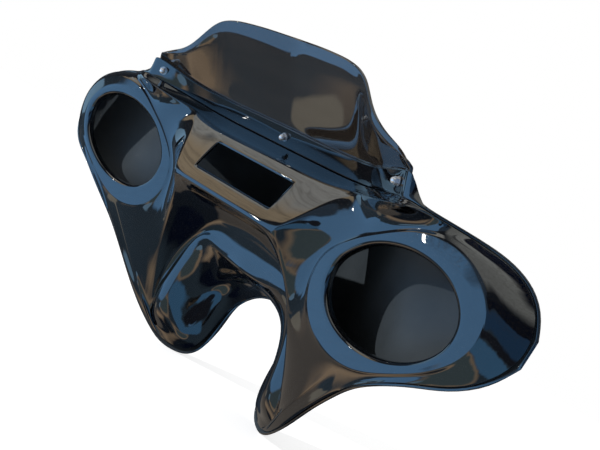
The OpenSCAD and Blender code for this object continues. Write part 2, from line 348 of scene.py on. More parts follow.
@dataclass
class SheetMesh:
    """A curved sheet made of grids of points that are joined where they meet.

    Attributes:
        grids: The grids, all facing the same way.
        thickness: Thickness in millimetres, behind the visible side.
        levels: Number of subdivisions.
        holes: Range of rows and of columns that a grid leaves open.
        polished: Range of columns that have the front's finish on both sides.
        edge_crease: How sharp the sheet's edges stay.
        near: Distance in metres at which a vertex counts as a hole's corner.
    """

    grids: list[Grid]
    thickness: float
    levels: int = 2
    holes: dict[int, tuple[int, int, int, int]] = field(default_factory=dict)
    polished: tuple[int, int] = (0, 0)
    edge_crease: float = 0.8
    near: float = 0.0001

    def build(
        self, name: str, front: bpy.types.Material, back: bpy.types.Material
    ) -> bpy.types.Object:
        """Makes the object.

        Args:
            name: Name of the piece.
            front: Material of the visible side.
            back: Material of the hidden side.

        Returns:
            The object, with its modifiers applied.
        """
        data = mesh_from(self._surface(), name)
        for finish in (front, back, front, front):
            data.materials.append(finish)
        piece = placed(name, data)
        solid = piece.modifiers.new("wall", "SOLIDIFY")
        solid.thickness = self.thickness * MM
        solid.offset = -1
        solid.material_offset = 1
        solid.edge_crease_outer = self.edge_crease
        solid.edge_crease_inner = self.edge_crease
        self._sharpen(applied(piece).data)
        smooth = piece.modifiers.new("smooth", "SUBSURF")
        smooth.levels = smooth.render_levels = self.levels
        mesh = applied(piece).data
        for face in mesh.polygons:
            face.material_index = Side.BACK if face.material_index == Side.BACK else Side.FRONT
        while len(mesh.materials) > 2:
            mesh.materials.pop()
        return piece

    def _surface(self) -> bmesh.types.BMesh:
        """Makes the faces of the visible side."""
        mesh = bmesh.new()
        found: dict[tuple[int, int, int], bmesh.types.BMVert] = {}
        for number, grid in enumerate(self.grids):
            rows = [[self._vertex(mesh, found, p) for p in row] for row in grid]
            for r in range(len(rows) - 1):
                for c in range(len(rows[0]) - 1):
                    corners = [rows[r][c], rows[r][c + 1], rows[r + 1][c + 1], rows[r + 1][c]]
                    ring = [v for k, v in enumerate(corners) if v is not corners[k - 1]]
                    if self._is_open(number, r, c) or len(ring) < 3 or mesh.faces.get(ring) is not None:
                        continue
                    face = mesh.faces.new(ring)
                    face.smooth = True
                    polished = self.polished[0] <= c < self.polished[1]
                    face.material_index = Side.POLISHED if polished else Side.FRONT
        return mesh

    def _is_open(self, number: int, r: int, c: int) -> bool:
        """Tells whether a cell of a grid lies in a hole."""
        r0, r1, c0, c1 = self.holes.get(number, (0, 0, 0, 0))
        return r0 <= r < r1 and c0 <= c < c1

    def _vertex(
        self, mesh: bmesh.types.BMesh, found: dict[tuple[int, int, int], bmesh.types.BMVert], p: Point
    ) -> bmesh.types.BMVert:
        """Finds the vertex at a point, or adds it.

        Args:
            mesh: The mesh.
            found: Its vertices by rounded place.
            p: The point.

        Returns:
            The vertex.
        """
        key = tuple(int(v) for v in np.round(p * WELD))
        if key not in found:
            found[key] = mesh.verts.new(tuple((p - CROWN) * MM))
        return found[key]

    def _sharpen(self, data: bpy.types.Mesh) -> None:
        """Keeps the corners of rectangular holes sharp.

        Args:
            data: Mesh of the sheet with its thickness.
        """
        mesh = bmesh.new()
        mesh.from_mesh(data)
        layer = mesh.edges.layers.float.get("crease_edge") or mesh.edges.layers.float.new("crease_edge")
        for number, (r0, r1, c0, c1) in self.holes.items():
            for corner in (self.grids[number][r][c] for r in (r0, r1) for c in (c0, c1)):
                at = Vector((corner - CROWN) * MM)
                for vert in mesh.verts:
                    if (vert.co - at).length < self.near and abs(corner[0]) > 1:
                        wall = self.thickness * MM
                        post = min(vert.link_edges, key=lambda e: abs(e.calc_length() - wall))
                        post[layer] = 1.0
        mesh.to_mesh(data)
        mesh.free()


def applied(piece: bpy.types.Object) -> bpy.types.Object:
    """Applies an object's modifiers.

    Args:
        piece: The object.

    Returns:
        The same object, with its final mesh.
    """
    graph = bpy.context.evaluated_depsgraph_get()
    mesh = bpy.data.meshes.new_from_object(piece.evaluated_get(graph))
    mesh.name = piece.name
    piece.modifiers.clear()
    piece.data = mesh
    return piece


@dataclass
class InnerShell:
    """The shell that faces the rider: dash, speaker pods and the lobes beside the fork.

    Attributes:
        flange: The flange that the ledge meets.
        rim: The rim that the shell's edge follows.
        radio_half_w: Half width of the radio cut-out.
        radio_h: Height of the radio cut-out, along the dash.
        dash_tilt: Lean of the dash, in degrees.
        speaker_a: Long half axis of the speaker opening.
        speaker_b: Short half axis of the speaker opening.
        ring_w: Mean width of the flat ring round the opening.
        ring_swell: How much wider the ring is at two of its corners.
        ring_turn: How far these corners are turned from the diagonal, in degrees.
        recess: Number of the row where the recess under the dash turns down.
        crest: Number of the row of the crest below it.
        lip: Number of the row beside the lip of the fork cut-out.
        smoothing: Pulls of one smoothing pass, inwards and back out.
        turns: Number of smoothing passes.
        crest_h: Height of the crest.
        crest_half: Half its width, in rows.
        groove_h: Depth of the groove between crest and lip.
        groove_at: Row of the groove, and half its width in rows.
        lip_h: Height of the lip.
        lip_at: Row of the lip, and half its width in rows.
        groove_from: Column where crest, groove and lip begin.
        groove_to: Column where they end.
        groove_fade: Columns over which they fade out.
        bevel: Slope of the ring's outer part where it falls off most.
        bevel_at: Direction in which it falls off most, in degrees.
        lip_r: Radius of the opening's rolled edge.
        hole_wall: Depth of the wall that turns in at the opening.
        ring_foot: Width and depth of the step at the ring's outer edge.
        seam_angle: Angle round the pod at which its rays begin, in degrees.
        evenness: How far the rays are spread evenly, and not aimed at their ends.
        slope_steps: Steps from the ring to the pod's edge.
        seam_inset: Distance of the shell's edge from the rim.
        seat: Clearance between ledge and flange.
        pod: Centre of the speaker opening.
        pod_long: Direction of its long axis.
        pod_short: Direction of its short axis.
        pod_out: Direction out of the ring's face.
        ridge_end: Knots of the dash ridge past the dash.
    """

    flange: Flange
    rim: Rim
    radio_half_w: float = 91.0
    radio_h: float = 53.0
    dash_tilt: float = 20.0
    speaker_a: float = 108.0
    speaker_b: float = 72.0
    ring_w: float = 20.0
    ring_swell: float = 13.0
    ring_turn: float = 27.0
    recess: int = 6
    crest: int = 8
    lip: int = 10
    smoothing: tuple[float, float] = (0.5, -0.52)
    turns: int = 8
    crest_h: float = 3.5
    crest_half: float = 0.8
    groove_h: float = 7.0
    groove_at: tuple[float, float] = (9.95, 0.45)
    lip_h: float = 2.5
    lip_at: tuple[float, float] = (10.6, 0.25)
    groove_from: float = 0.6
    groove_to: float = 5.4
    groove_fade: float = 1.5
    bevel: float = 0.3
    bevel_at: float = 35.0
    lip_r: float = 7.0
    hole_wall: float = 14.0
    ring_foot: tuple[float, float] = (3.5, 2.0)
    seam_angle: float = 80.0
    evenness: float = 0.2
    slope_steps: int = 8
    seam_inset: float = 5.0
    seat: float = 0.7
    pod: Point = field(default_factory=lambda: point(318, 1, -79))
    pod_long: Point = field(default_factory=lambda: point(0.959, -0.193, 0.210))
    pod_short: Point = field(default_factory=lambda: point(-0.248, -0.201, 0.948))
    pod_out: Point = field(default_factory=lambda: point(-0.14, -0.96, -0.24))
    ridge_end: list[Point] = field(
        default_factory=lambda: points(
            (187, 10, 31), (210, -4, 31), (236, -20, 31), (264, -38, 32), (294, -51, 36)
        )
    )

    def rows(self) -> list[list[Point]]:
        """Lists the rows of the middle, from the dash ridge to the fork cut-out."""
        rh = self.radio_half_w
        tilt = radians(self.dash_tilt)
        low = point(0, -self.radio_h * sin(tilt), -self.radio_h * cos(tilt))
        return [
            points((0, 7, 20), (46, 7, 20), (rh, 7, 20), (112, 7.5, 20.5), (132, 9, 22), (152, 10, 25),
                   (170, 10.5, 28), (187, 10, 31)),
            points((0, 0, 0), (46, 0, 0), (rh, 0, 0), (108, 0, 0), (124, 0, 0), (140, 0, 1), (155, 0, 2),
                   (168, 0, 3)),
            [low + point(x, 0, 0) for x in (0, 46, rh, 102, 112, 122, 131, 140)],
            [point(x, -27, -74) for x in (0, 46, 86, 96, 103, 109, 115, 121)],
            points((0, -25, -81), (46, -25, -81), (85, -25, -81), (96, -25, -81), (103, -24, -81),
                   (110, -23, -82), (117, -21, -84), (124, -17, -86)),
            points((0, -8, -82), (46, -8, -82), (84, -8, -83), (96, -7, -86), (105, -4, -90),
                   (114, 1, -95), (123, 5, -99), (132, 6, -102)),
            points((0, 66, -80), (46, 66, -80), (82, 62, -86), (98, 56, -97), (110, 52, -110),
                   (124, 50, -124), (140, 44, -136), (154, 36, -141)),
            points((0, 98, -118), (40, 99, -118), (78, 98, -117), (104, 98, -121), (134, 102, -150),
                   (156, 106, -190), (166, 104, -222), (173, 98, -238)),
            points((0, 108, -167), (36, 120, -170), (84, 114, -157), (124, 104, -139), (158, 126, -210),
                   (170, 131, -272), (177, 142, -306), (179, 150, -326)),
            points((0, 126, -174), (38, 134, -177), (82, 128, -174), (114, 118, -178), (146, 130, -235),
                   (149, 129, -288), (164, 146, -328), (178, 160, -343)),
            points((0, 186, -182), (38, 188, -189), (84, 191, -212), (107, 188, -247), (111, 185, -295),
                   (114, 184, -338), (136, 182, -358), (171, 169, -358)),
            points((0, 236, -184), (40, 235, -195), (74, 228, -228), (87, 220, -274), (87, 216, -320),
                   (96, 214, -356), (124, 199, -370), (162, 176, -368)),
            points((0, 256, -192.5), (45, 254, -204), (74, 247, -236), (84, 240, -279), (83, 233, -323),
                   (93, 226, -358), (116, 210, -376), (151, 185, -375)),
        ]

    def middle(self) -> Grid:
        """Makes the grid from the middle plane to the pod."""
        rows = self.rows()
        down = spans([1, 1, 1, 1, 1, 1, 2, 3, 3, 4, 5, 1])
        across = spans([1, 1, 1, 1, 1, 2, 2])
        columns = [[curve(row, c) for row in rows] for c in across]
        grid = [[self.folded(column, r) for column in columns] for r in down]
        self.relax(grid, down.index(self.recess), down.index(self.crest))
        self.relax(grid, down.index(self.crest), down.index(self.lip))
        return [
            [p + self.facing(grid, i, k) * self.groove(r, across[k]) for k, p in enumerate(grid[i])]
            for i, r in enumerate(down)
        ]

    def folded(self, column: list[Point], r: float) -> Point:
        """Finds a point of a column, whose curve breaks at the crest under the dash."""
        crest = self.crest
        return curve(column[: crest + 1], r) if r <= crest else curve(column[crest:], r - crest)

    def relax(self, grid: Grid, top: int, bottom: int) -> None:
        """Evens the rows between two rows without shrinking them, so that reflections run smoothly.

        Args:
            grid: The grid, changed in place.
            top: Number of the row above, which stays.
            bottom: Number of the row below, which stays.
        """
        for pull in self.smoothing * self.turns:
            before = [list(row) for row in grid]
            for i in range(top + 1, bottom):
                for k in range(len(grid[i]) - 1):
                    row = before[i]
                    left = row[k - 1] if k else row[1] * FLIP
                    even = (left + row[k + 1] + before[i - 1][k] + before[i + 1][k]) / 4
                    grid[i][k] = row[k] + (even - row[k]) * pull

    def facing(self, grid: Grid, i: int, k: int) -> Point:
        """Finds the direction out of the middle's visible side at row i, column k of its grid."""
        down = grid[min(i + 1, len(grid) - 1)][k] - grid[max(i - 1, 0)][k]
        across = grid[i][min(k + 1, len(grid[0]) - 1)] - grid[i][max(k - 1, 0)]
        return unit(np.cross(down, across))

    def groove(self, r: float, c: float) -> float:
        """Gives the height of the surface by the fork cut-out: a crest, a groove and then a lip.

        Args:
            r: Place down the middle, in rows.
            c: Place across it, in columns.

        Returns:
            The height above the smooth surface.
        """
        begun = min(1.0, max(0.0, c - self.groove_from))
        left = min(1.0, max(0.0, (self.groove_to - c) / self.groove_fade))
        dip = peak(r, *self.groove_at)
        raised = self.crest_h * peak(r, self.crest, self.crest_half) + self.lip_h * peak(r, *self.lip_at)
        return begun * left * (raised - self.groove_h * dip * dip * (3 - 2 * dip))

    def ledge(self, middle: Grid) -> Grid:
        """Makes the strip from the dash ridge up to the flange.

        Args:
            middle: The middle's grid, whose first row is the ridge.

        Returns:
            The strip's grid.
        """
        line = middle[0] + self.ridge_end[1:]
        grid = []
        for f, sag in ((0.0, 0.0), (0.15, 1.5), (0.5, 3.0), (0.85, 2.0), (1.0, 0.0)):
            row = []
            for p in line:
                foot = self.flange.base_at(p[0]) - self.flange.facing(p[0]) * self.seat
                row.append(p * (1 - f) + foot * f - point(0, 0, sag))
            grid.append(row + [self.rim.inset(self.rim.shoulder, self.seam_inset)])
        return grid

    def loop(self, middle: Grid) -> list[Point]:
        """Lists the points round the pod: ridge, dash side, lobe and rim."""
        last = len(self.rim.line) - 2
        edge = [self.rim.inset(i, self.seam_inset) for i in range(last, self.rim.shoulder - 1, -1)]
        return self.ridge_end[:0:-1] + [row[-1] for row in middle] + edge

    def pod_rays(self, middle: Grid) -> Grid:
        """Makes the pod: one row of points from the opening to each point of its loop.

        Args:
            middle: The middle's grid, whose last column is the dash side of the loop.

        Returns:
            The pod's grid.
        """
        loop = self.loop(middle)
        angles = []
        for p in loop:
            angle = np.degrees(np.arctan2((p - self.pod) @ self.pod_short, (p - self.pod) @ self.pod_long))
            angles.append(angle + 360 if angle < self.seam_angle else angle)
        grid = []
        for i, goal in enumerate(loop):
            spread = angles[0] + 360 * i / len(loop)
            grid.append(self.ray(radians((1 - self.evenness) * angles[i] + self.evenness * spread), goal))
        return grid + grid[:1]

    def on_pod(self, a: float, r: float, d: float) -> Point:
        """Finds a point of the pod in its own polar coordinates.

        Args:
            a: Angle from the long axis, in radians.
            r: Distance from the centre.
            d: Distance out of the ring's face.

        Returns:
            The point.
        """
        return self.pod + self.pod_long * (r * cos(a)) + self.pod_short * (r * sin(a)) + self.pod_out * d

    def ray(self, a: float, goal: Point) -> list[Point]:
        """Makes the points from the opening's wall out to the pod's edge.

        Args:
            a: Angle, in radians.
            goal: Where the ray ends.

        Returns:
            The points.
        """
        e = 1 / sqrt((cos(a) / self.speaker_a) ** 2 + (sin(a) / self.speaker_b) ** 2)
        w = self.ring_w + self.ring_swell * sin(2 * a + radians(self.ring_turn))
        wall = [self.on_pod(a, e, -d) for d in (self.hole_wall, self.lip_r + 2)]
        turns = [radians(b) for b in (0, 30, 60, 90)]
        lip = [self.on_pod(a, e + self.lip_r * (1 - cos(b)), -self.lip_r * (1 - sin(b))) for b in turns]
        fall = self.bevel * max(0.0, cos(a - radians(self.bevel_at))) ** 0.7 * w
        out = e + self.lip_r
        face = [self.on_pod(a, out + w * f, -fall * max(0.0, f - 0.25)) for f in (0.12, 0.3, 0.6, 0.93)]
        edge = self.on_pod(a, out + w, -fall * 0.75)
        foot = self.on_pod(a, out + w + self.ring_foot[0], -self.ring_foot[1] - fall * 0.9)
        return wall + lip + face + [edge, foot] + self.flank(foot, goal) + [goal]

    def flank(self, foot: Point, goal: Point) -> list[Point]:
        """Makes the slope from the ring's foot down to the pod's edge.

        Args:
            foot: Where it begins.
            goal: Where it ends.

        Returns:
            The points between the two.
        """
        gap = goal - foot
        d = float(np.linalg.norm(gap))
        drop = self.pod_out * float(gap @ self.pod_out)
        out = unit(foot - self.pod) * d
        flat = unit((gap - drop) * 0.85 + out * 0.15)
        dip = max(0.0, -float(gap @ self.pod_out) / d)
        m = unit(flat - self.pod_out * (0.6 * dip + 0.12 * min(1.0, dip * 5))) * d * 0.9
        o = unit(gap + drop * 0.8) * d
        return [blend(foot, m, goal, o, k / self.slope_steps) for k in range(1, self.slope_steps)]

    def build(self, front: bpy.types.Material, back: bpy.types.Material) -> bpy.types.Object:
        """Makes the shell.

        Args:
            front: Finish of the rider's side.
            back: Finish of the hidden side.

        Returns:
            The piece.
        """
        middle = self.middle()
        upturned = middle[::-1]
        ledge, pod = self.ledge(middle), self.pod_rays(middle)
        low, last = len(middle) - 3, len(middle[0]) - 1
        holes = {0: (low, low + 1, 0, 2), 3: (low, low + 1, last - 2, last)}
        grids = [upturned, ledge, pod, mirror(upturned), mirror(ledge), mirror(pod)]
        return SheetMesh(grids, self.flange.shell_t, holes=holes).build("inner_moulding", front, back)


@dataclass
class OuterShell:
    """The shell that faces forward: nose, wings and the flange for the windshield.

    Attributes:
        flange: The flange along its top.
        rim: Its rim and the fork cut-out's edge.
        wing_depth: How far it bulges forward behind a speaker pod.
        nose_depth: How far it bulges forward in the middle.
        arch_steps: Steps from its top round the bulge to its bottom.
        fullness: How long the bulge stays full towards the end of the wing.
    """

    flange: Flange
    rim: Rim
    wing_depth: float = 75.0
    nose_depth: float = 70.0
    arch_steps: int = 12
    fullness: int = 8

    def feet(self) -> Grid:
        """Lists the top of each column: flange, web and rim."""
        line, shoulder, rise = self.rim.line, self.rim.shoulder, self.flange.rise
        full = self.flange.profile(line[0][0])
        grid = [self.flange.profile(x) for x in self.flange.columns()]
        for i in range(shoulder):
            s = (line[i][0] - line[0][0]) / (line[shoulder][0] - line[0][0])
            foot = full[-2] * (1 - s) + line[shoulder] * s
            step = full[-1] * (1 - s) + line[shoulder] * s
            grid.append([line[i] * h + foot * (1 - h) for h in rise] + [step])
        return grid + [[line[i]] * (len(rise) + 1) for i in range(shoulder, self.rim.tip + 1)]

    def bottoms(self, count: int) -> list[Point]:
        """Lists the foot of each of the columns, along the fork cut-out and the rim."""
        rest = [self.rim.line[i] for i in range(len(self.rim.line) - 2, self.rim.tip, -1)]
        fork, last = count - len(rest), len(self.rim.fork) - 1
        return [curve(self.rim.fork, last * i / (fork - 1)) for i in range(fork)] + rest

    def half(self) -> Grid:
        """Makes the right half, one row of points for each column."""
        feet = self.feet()
        grid = []
        for i, (foot, low) in enumerate(zip(feet, self.bottoms(len(feet)))):
            f = i / (len(feet) - 1)
            high = foot[-1]
            full = sqrt(max(0, 1 - f**self.fullness))
            depth = (self.nose_depth * (1 - f) + self.wing_depth * f) * full
            out = unit(np.cross(point(1, 0, 0), low - high)) * depth
            arch = []
            for k in range(self.arch_steps, -1, -1):
                a = pi * k / self.arch_steps
                arch.append(high + (low - high) * (1 - cos(a)) / 2 + out * sin(a))
            grid.append(arch + foot[-2::-1])
        return grid

    def build(self, front: bpy.types.Material, back: bpy.types.Material) -> bpy.types.Object:
        """Makes the shell.

        Args:
            front: Finish of the outside.
            back: Finish of the inside.

        Returns:
            The piece.
        """
        half = self.half()
        polished = (self.arch_steps, len(half[0]) - 1)
        sheet = SheetMesh([half, mirror(half, by_rows=True)], self.flange.shell_t, polished=polished)
        return sheet.build("outer_moulding", front, back)


@dataclass
class Windshield:
    """The smoked sheet bolted to the flange, with a flared top strip.

    Attributes:
        flange: The flange that carries it, with its top edge.
        flare: How far the top strip bends forward.
        flare_from: Where the flare begins, as a share of the height above the flange.
        past: How far the flat part goes on above the flange.
    """

    flange: Flange
    flare: float = 5.0
    flare_from: float = 0.85
    past: float = 1.0

    def half(self) -> Grid:
        """Makes the right half, one row of points for each column."""
        grid = []
        high = self.flange.height + self.past
        for x in self.flange.columns():
            facing, lean = self.flange.facing(x), self.flange.lean(x)
            foot = self.flange.base_at(x) + facing * (self.flange.shell_t + self.flange.gap) + lean
            top = at_x(self.flange.screen_top, x) - facing * (self.flange.screen_t / 2 + self.flare)
            low = foot + lean * high
            free = []
            for f in (1.0, 0.93, 0.85, 0.7, 0.5, 0.3, 0.12):
                bent = max(0.0, (f - self.flare_from) / (1 - self.flare_from))
                free.append(low + (top - low) * f + facing * self.flare * bent)
            grid.append(free + [foot + lean * (high * f) for f in (1.0, 0.5, 0.0)])
        return grid

    def build(self, finish: bpy.types.Material) -> bpy.types.Object:
        """Makes the sheet in one finish."""
        half = self.half()
        sheet = SheetMesh([mirror(half, by_rows=True), half], self.flange.screen_t)
        return sheet.build("smoked_sheet", finish, finish)


def both_ways(operation: str) -> tuple[Callable, Callable]:
    """Makes an operator of signals and its reflected form.

    Args:
        operation: The operation of its Math node.

    Returns:
        The two methods, with the signal before and after the other value.
    """

    def plain(self: "Signal", other: "Signal | float") -> "Signal":
        """Adds the node with this signal first."""
        return self.math(operation, self, other)

    def reflected(self: "Signal", other: float) -> "Signal":
        """Adds the node with this signal second."""
        return self.math(operation, other, self)

    return plain, reflected


@dataclass
class Signal:
    """A shader socket that takes part in arithmetic, each operation adding a Math node.

    Attributes:
        graph: The nodes that it belongs to.
        socket: The output socket.
    """

    graph: "Graph"
    socket: bpy.types.NodeSocket

    def math(self, operation: str, *values: "Signal | float") -> "Signal":
        """Adds a Math node for one or two values."""
        return self.graph.add("ShaderNodeMath", {"operation": operation}, dict(enumerate(values)))

    __add__, __radd__ = both_ways("ADD")
    __sub__, __rsub__ = both_ways("SUBTRACT")
    __mul__, __rmul__ = both_ways("MULTIPLY")
    __truediv__, __rtruediv__ = both_ways("DIVIDE")
    __pow__, __rpow__ = both_ways("POWER")
    __mod__, __rmod__ = both_ways("MODULO")

    def __abs__(self) -> "Signal":
        """Drops the sign."""
        return self.math("ABSOLUTE", self)

    def arctan2(self, other: "Signal | float") -> "Signal":
        """Gives the angle in degrees whose tangent is this over the other."""
        return self.math("ARCTAN2", self, other) * (180 / pi)

    def arcsine(self) -> "Signal":
        """Gives the angle in degrees whose sine this is."""
        return self.math("ARCSINE", self) * (180 / pi)

    def clamped(self, low: float, high: float) -> "Signal":
        """Maps the stretch from low to high onto 0 to 1 and clamps it."""
        return self.graph.add(
            "ShaderNodeMapRange", {"clamp": True}, {"Value": self, "From Min": low, "From Max": high}
        )

    def output(self, name: str) -> "Signal":
        """Gives another output of the same node."""
        return Signal(self.graph, self.socket.node.outputs[name])


class Ray(Enum):
    """Kinds of ray that the Light Path node tells apart."""

    CAMERA = "Is Camera Ray"
    GLOSSY = "Is Glossy Ray"
    TRANSMISSION = "Is Transmission Ray"


class Graph:
    """The nodes of one material or of the world."""

    def __init__(self, owner: bpy.types.Material | bpy.types.World) -> None:
        """Switches the owner's nodes on."""
        owner.use_nodes = True
        self.owner = owner
        self.tree = owner.node_tree

    @classmethod
    def of_material(cls, name: str) -> "Graph":
        """Starts a material of that name."""
        return cls(bpy.data.materials.new(name))

    def add(self, kind: str, settings: dict, inputs: dict, output: str | int = 0) -> Signal:
        """Adds a node.

        Args:
            kind: The node's type.
            settings: Its properties, which are set first.
            inputs: Values or signals for its sockets, by name or number.
            output: The output that is returned.

        Returns:
            The signal of that output.
        """
        node = self.tree.nodes.new(kind)
        for key, value in settings.items():
            setattr(node, key, value)
        for key, value in inputs.items():
            self.link(value, node.inputs[key])
        return Signal(self, node.outputs[output])

    def link(self, value: "Signal | float | tuple", socket: bpy.types.NodeSocket) -> None:
        """Feeds a socket.

        Args:
            value: A signal, a number, a vector or a colour.
            socket: The input socket.
        """
        if isinstance(value, Signal):
            self.tree.links.new(value.socket, socket)
        elif isinstance(value, tuple) and len(value) == 3 and socket.type == "RGBA":
            socket.default_value = (*value, 1.0)
        else:
            socket.default_value = value

    def place(self) -> Signal:
        """Gives the point's place on the object."""
        return self.add("ShaderNodeTexCoord", {}, {}, "Object")

    def ray(self, kind: Ray) -> Signal:
        """Gives 1 for rays of a kind, and otherwise 0."""
        return self.add("ShaderNodeLightPath", {}, {}, kind.value)

    def noise(self, scale: float, detail: float = 2.0, stretch: Colour = (1, 1, 1)) -> Signal:
        """Adds a noise pattern.

        Args:
            scale: Cells per metre.
            detail: Number of finer layers.
            stretch: Scale along each axis.

        Returns:
            Values from 0 to 1.
        """
        where = self.add("ShaderNodeMapping", {}, {"Vector": self.place(), "Scale": stretch})
        return self.add("ShaderNodeTexNoise", {}, {"Vector": where, "Scale": scale, "Detail": detail})

    def mix(self, factor: Signal, first: Colour | Signal, second: Colour | Signal) -> Signal:
        """Mixes two colours."""
        return self.add("ShaderNodeMix", {"data_type": "RGBA"}, {0: factor, 6: first, 7: second}, 2)

    def bump(self, height: Signal, strength: float, distance: float) -> Signal:
        """Turns a height into a normal."""
        return self.add("ShaderNodeBump", {}, {"Height": height, "Strength": strength, "Distance": distance})

    def feed(self, node: str = "Principled BSDF", **inputs: "Signal | float | tuple") -> bpy.types.ID:
        """Feeds the sockets of a node that was there from the start.

        Args:
            node: The node's name.
            **inputs: Values or signals by socket, with underscores for spaces.

        Returns:
            The material or world.
        """
        for key, value in inputs.items():
            self.link(value, self.tree.nodes[node].inputs[key.replace("_", " ")])
        return self.owner


# Sockets of a surface polished to a wet look
POLISHED = {"Specular_IOR_Level": 1.0, "Coat_Weight": 1.0, "Coat_Roughness": 0.02, "Coat_IOR": 1.6}


@dataclass(frozen=True)
class GelCoat:
    """Moulded black gel coat, polished to a wet look, with faint orange peel and settled dust."""

    name: str
    colour: Colour = (0.0022, 0.0025, 0.0034)
    dust_colour: Colour = (0.16, 0.16, 0.16)
    peel: float = 0.00002
    dust: float = 0.35

    def build(self) -> bpy.types.Material:
        """Makes the material."""
        graph = Graph.of_material(self.name)
        specks = graph.noise(900, 0).clamped(0.735, 0.78)
        patches = graph.noise(9, 3).clamped(0.35, 0.75)
        dust = specks * patches * self.dust
        peel = graph.noise(55, 1) + graph.noise(9, 1) * 2.0
        return graph.feed(
            Base_Color=graph.mix(dust, self.colour, self.dust_colour),
            Roughness=0.03 + graph.noise(14, 3) * 0.03 + dust * 0.3,
            Normal=graph.bump(peel, 1.0, self.peel),
            **POLISHED,
        )


@dataclass(frozen=True)
class BareLaminate:
    """The unpolished inside of a moulding: dull grey resin over glass mat."""

    name: str
    colour: Colour = (0.042, 0.05, 0.056)
    darker: float = 0.7

    def build(self) -> bpy.types.Material:
        """Makes the material."""
        graph = Graph.of_material(self.name)
        mat = graph.noise(220, 4, (1, 0.25, 1)) + graph.noise(160, 4, (0.25, 1, 1))
        cloud = graph.noise(12, 4)
        dark = tuple(c * self.darker for c in self.colour)
        return graph.feed(
            Base_Color=graph.mix(cloud.clamped(0.3, 0.7), dark, self.colour),
            Roughness=0.42 + cloud * 0.15,
            Normal=graph.bump(mat, 0.5, 0.0003),
        )


@dataclass(frozen=True)
class SmokedAcrylic:
    """Dark brown smoked sheet with a polished surface and fine wiping marks."""

    name: str
    colour: Colour = (0.012, 0.009, 0.007)
    wiped_colour: Colour = (0.02, 0.016, 0.013)
    opacity: float = 0.95

    def build(self) -> bpy.types.Material:
        """Makes the material."""
        graph = Graph.of_material(self.name)
        wiped = graph.noise(40, 5, (0.1, 1, 1)).clamped(0.45, 0.8)
        return graph.feed(
            Base_Color=graph.mix(wiped, self.colour, self.wiped_colour),
            Roughness=0.02 + wiped * 0.04,
            Alpha=self.opacity,
            **POLISHED,
        )


@dataclass(frozen=True)
class Metal:
    """A plated or plain metal with fine scratches."""

    name: str
    colour: Colour
    roughness: float
    metallic: float = 1.0
    darker: float = 0.8

    def build(self) -> bpy.types.Material:
        """Makes the material."""
        graph = Graph.of_material(self.name)
        marks = graph.noise(1500, 3, (1, 0.1, 1))
        dark = tuple(c * self.darker for c in self.colour)
        return graph.feed(
            Base_Color=graph.mix(marks.clamped(0.5, 0.9), self.colour, dark),
            Metallic=self.metallic,
            Roughness=self.roughness + marks * 0.06,
            Normal=graph.bump(marks, 0.2, 0.00002),
        )


@dataclass(frozen=True)
class SoftBlack:
    """Matt black rubber, a little uneven."""

    name: str
    colour: Colour = (0.012, 0.012, 0.013)
    worn_colour: Colour = (0.02, 0.02, 0.021)

    def build(self) -> bpy.types.Material:
        """Makes the material."""
        graph = Graph.of_material(self.name)
        grain = graph.noise(700, 3)
        return graph.feed(
            Base_Color=graph.mix(grain.clamped(0.4, 0.7), self.colour, self.worn_colour),
            Roughness=0.45 + grain * 0.2,
            Normal=graph.bump(grain, 0.4, 0.0001),
        )


class Kind(Enum):
    """Kinds of fastener by the end of their nodes' names, of which the first that fits counts."""

    RUBBER_WASHER = "_rubber_washer"
    ACORN_NUT = "_acorn_nut"
    WASHER = "_washer"
    BOLT = "_bolt"


@dataclass
class Fasteners:
    """Bolts, washers and nuts at the flange, with the shapes that the frame brings.

    Attributes:
        nodes: The frame's pieces by name.
    """

    nodes: dict[str, bpy.types.Object]

    def build(self) -> None:
        """Gives each fastener the finish of its kind."""
        finishes = {
            Kind.RUBBER_WASHER: SoftBlack("rubber").build(),
            Kind.ACORN_NUT: Metal("chrome", (0.85, 0.85, 0.86), 0.12, 0.7).build(),
            Kind.WASHER: Metal("stainless", (0.55, 0.55, 0.56), 0.25, 0.85).build(),
            Kind.BOLT: Metal("black_steel", (0.03, 0.03, 0.03), 0.3).build(),
        }
        for name, node in self.nodes.items():
            kind = next((k for k in Kind if name.endswith(k.value)), None)
            if kind:
                node.data.materials.clear()
                node.data.materials.append(finishes[kind])
                LOG.info("%s: %s", name, finishes[kind].name)


class Tone(Enum):
    """Colours of light that the tent's panels send out."""

    SUN = (90.0, 87.0, 80.0)
    GLARE = (0.9, 0.9, 0.85)
    CLOUD = (0.57, 0.59, 0.57)
    SKY = (0.3, 0.67, 1.2)
    HAZE = (0.4, 0.7, 1.0)
    BLUE = (0.15, 0.4, 0.73)
    DEEP_BLUE = (0.05, 0.14, 0.3)
    DUSK = (0.09, 0.15, 0.23)
    SHADE = (0.07, 0.11, 0.15)
    GLOOM = (0.03, 0.035, 0.05)
    DIM = (0.02, 0.03, 0.045)
    NIGHT = (0.004, 0.01, 0.03)
    EARTH = (0.78, 0.57, 0.38)
    SAND = (0.95, 0.75, 0.5)
    STONE = (0.45, 0.42, 0.35)
    CLAY = (0.19, 0.17, 0.15)
    MOSS = (0.17, 0.24, 0.26)
    TWIGS = (0.12, 0.1, 0.07)


@dataclass(frozen=True)
class Panel:
    """One oval panel of colour in the tent.

    Attributes:
        azimuth: Direction of its middle, in degrees from the rider's side to the rider's right.
        elevation: Height of its middle, in degrees.
        wide: Half its width, in degrees.
        high: Half its height, in degrees.
        tone: Light that it sends out.
        soft: Width of its edge, as a share of its size.
    """

    azimuth: float
    elevation: float
    wide: float
    high: float
    tone: Tone
    soft: float = 0.2


